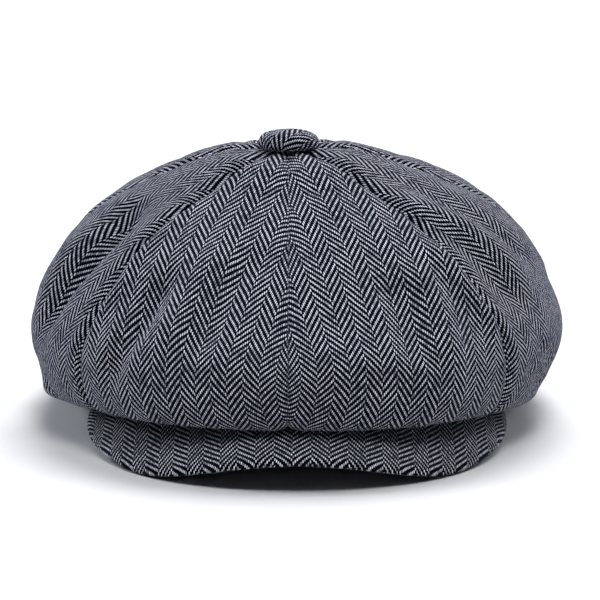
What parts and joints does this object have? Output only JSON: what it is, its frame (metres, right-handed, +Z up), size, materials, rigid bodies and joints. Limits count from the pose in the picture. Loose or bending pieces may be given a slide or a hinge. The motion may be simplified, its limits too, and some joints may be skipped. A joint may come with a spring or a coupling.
{
  "type": "newsboy cap",
  "caption": "Soft panelled cap with a full crown that overhangs a short curved peak, a covered button on top, and an open lined inside.",
  "frame": {"origin": "centre of the bounding box's footprint, on the table the cap lies on", "axes": "+Z up, -Y towards the peak (the front), +X towards the wearer's left"},
  "size_m": [0.2634, 0.301, 0.1395],
  "materials": {
    "tweed": "matte",
    "lining_cloth": "satin",
    "sweatband_tape": "matte",
    "stiffener_canvas": "matte",
    "peak_board": "matte",
    "button_metal": "satin",
    "shank_wire": "satin",
    "tying_thread": "matte",
    "felt": "matte",
    "label_cloth": "satin"
  },
  "bodies": {
    "root": {"crown_panel_front_left": "tweed", "crown_panel_temple_left": "tweed", "crown_panel_side_left": "tweed", "crown_panel_back_left": "tweed", "crown_panel_front_right": "tweed", "crown_panel_temple_right": "tweed", "crown_panel_side_right": "tweed", "crown_panel_back_right": "tweed", "band_left": "tweed", "band_right": "tweed", "peak_top_cover": "tweed", "peak_under_cover": "tweed", "button_cover": "tweed", "lining_panel_front_left": "lining_cloth", "lining_panel_temple_left": "lining_cloth", "lining_panel_side_left": "lining_cloth", "lining_panel_back_left": "lining_cloth", "lining_panel_front_right": "lining_cloth", "lining_panel_temple_right": "lining_cloth", "lining_panel_side_right": "lining_cloth", "lining_panel_back_right": "lining_cloth", "sweatband": "sweatband_tape", "band_stiffener": "stiffener_canvas", "peak_board": "peak_board", "button_shell": "button_metal", "button_back": "button_metal", "button_shank": "shank_wire", "button_tie": "tying_thread", "apex_patch": "felt", "size_label": "label_cloth"}
  },
  "joints": []
}
